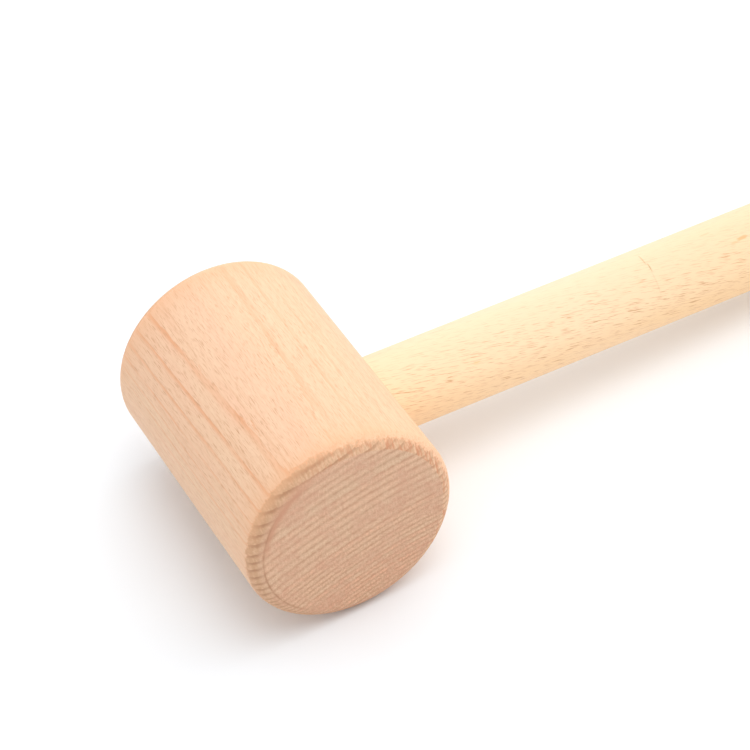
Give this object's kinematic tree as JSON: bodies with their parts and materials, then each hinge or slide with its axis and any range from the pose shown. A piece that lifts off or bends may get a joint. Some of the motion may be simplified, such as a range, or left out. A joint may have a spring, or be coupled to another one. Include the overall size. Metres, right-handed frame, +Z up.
{
  "type": "wooden mallet",
  "caption": "Round-headed beech carpentry mallet: a turned cylindrical head with eased striking faces on a straight round dowel handle set in a blind socket.",
  "frame": {"origin": "on the bench plane, below the middle of the mallet's bounding box, with the mallet lying on its side", "axes": "+Z up; +X from the head towards the handle's free end; +Y along the head's axis, from one striking face to the other. The head rests on its round side and the handle dips 4.34 degrees so that its free end touches the bench"},
  "size_m": [0.3, 0.092, 0.065],
  "materials": {
    "head_beech": "bare sanded steamed beech, pinkish tan, matt",
    "handle_beech": "bare sanded white beech, cream to peach, matt",
    "wedge_wood": "sawn hardwood, out of sight",
    "dried_glue": "cured wood glue, translucent amber, out of sight"
  },
  "bodies": {
    "root": {"head": "head_beech", "handle": "handle_beech", "tenon_wedge": "wedge_wood", "glue_film": "dried_glue"}
  },
  "joints": []
}
